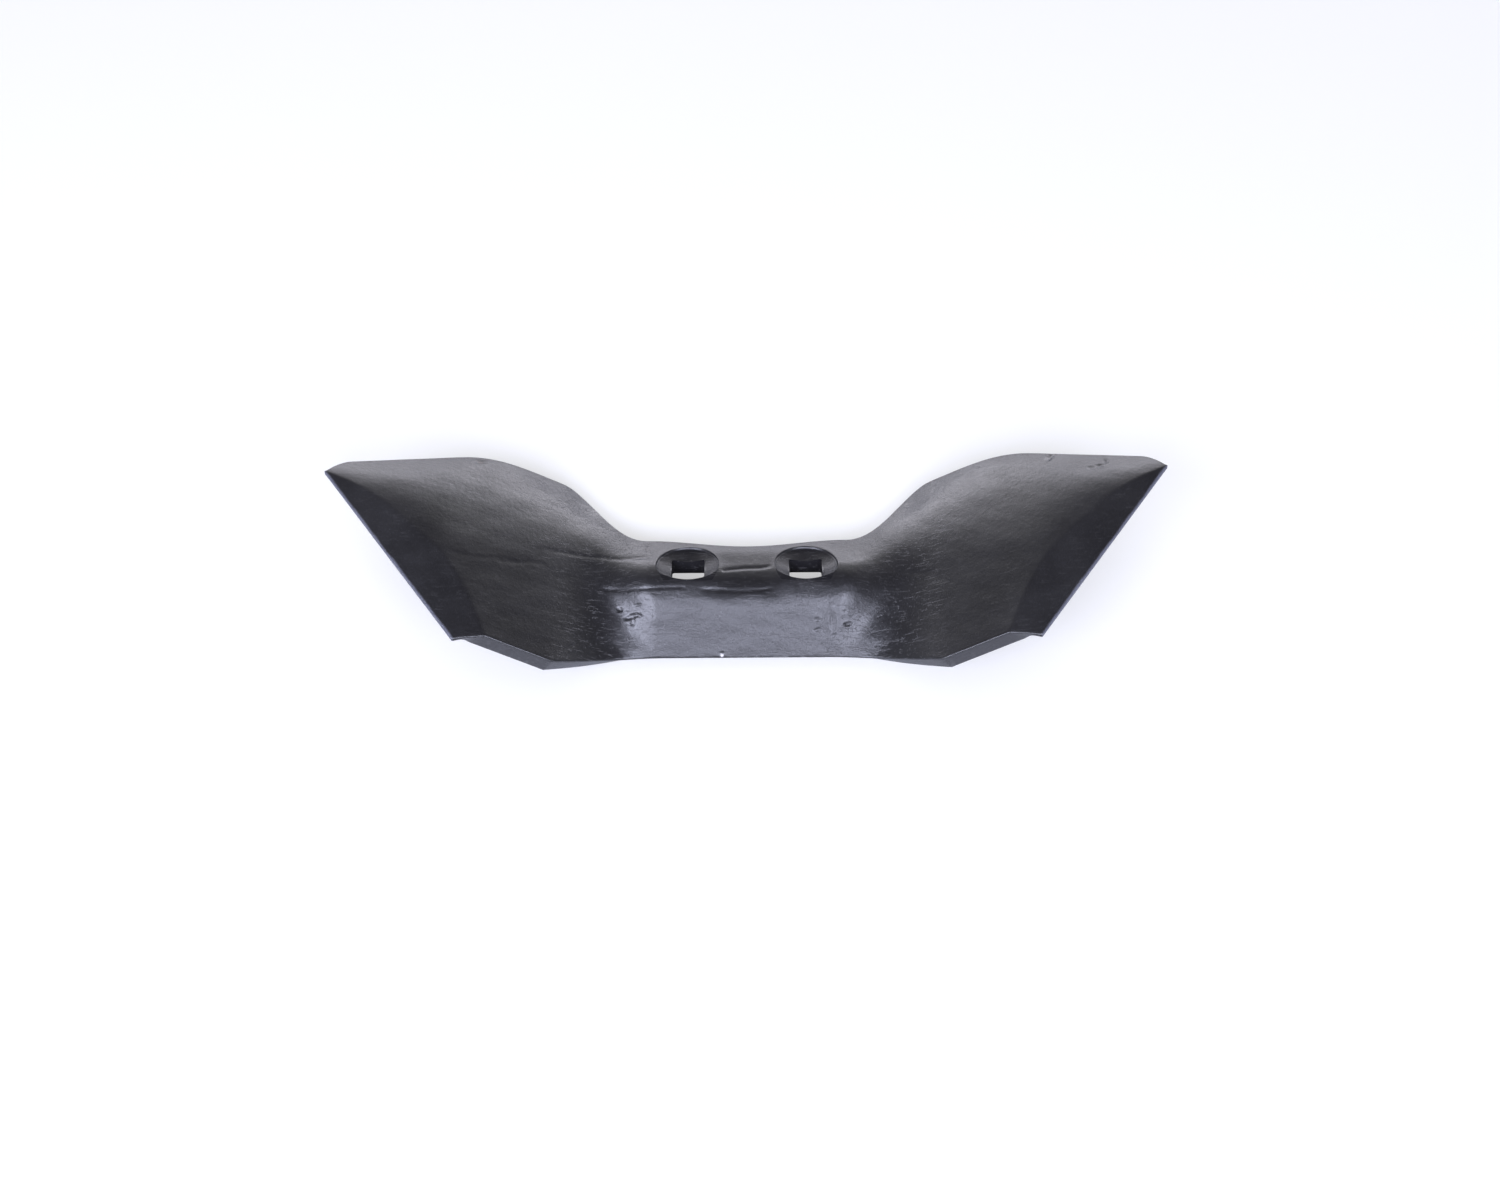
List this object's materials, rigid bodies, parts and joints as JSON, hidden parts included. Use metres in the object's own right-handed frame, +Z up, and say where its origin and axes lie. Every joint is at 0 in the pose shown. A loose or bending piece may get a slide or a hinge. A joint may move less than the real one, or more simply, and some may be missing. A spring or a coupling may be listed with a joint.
{
  "type": "cultivator wing share",
  "caption": "Winged wear share: a bent steel plate with a flange holding countersunk square bolt holes, a steep front pad, and wings that sweep back and rise to bevelled cutting edges.",
  "frame": {"origin": "centre of the bounding box seen from above, on the surface that the share lies on (the pad's lower edge and the undersides of the wing necks touch Z = 0)", "axes": "+X along the span from wing tip to wing tip, +Y towards the rear (the flange's edge), +Z up; the bolts lean 28 degrees rearward from +Z"},
  "size_m": [0.3504, 0.1014, 0.0531],
  "materials": {
    "painted_steel": "thin satin black paint over forged steel, with the forging's scale, dents and scratches showing through"
  },
  "bodies": {
    "root": {"wing_share": "painted_steel"}
  },
  "joints": []
}
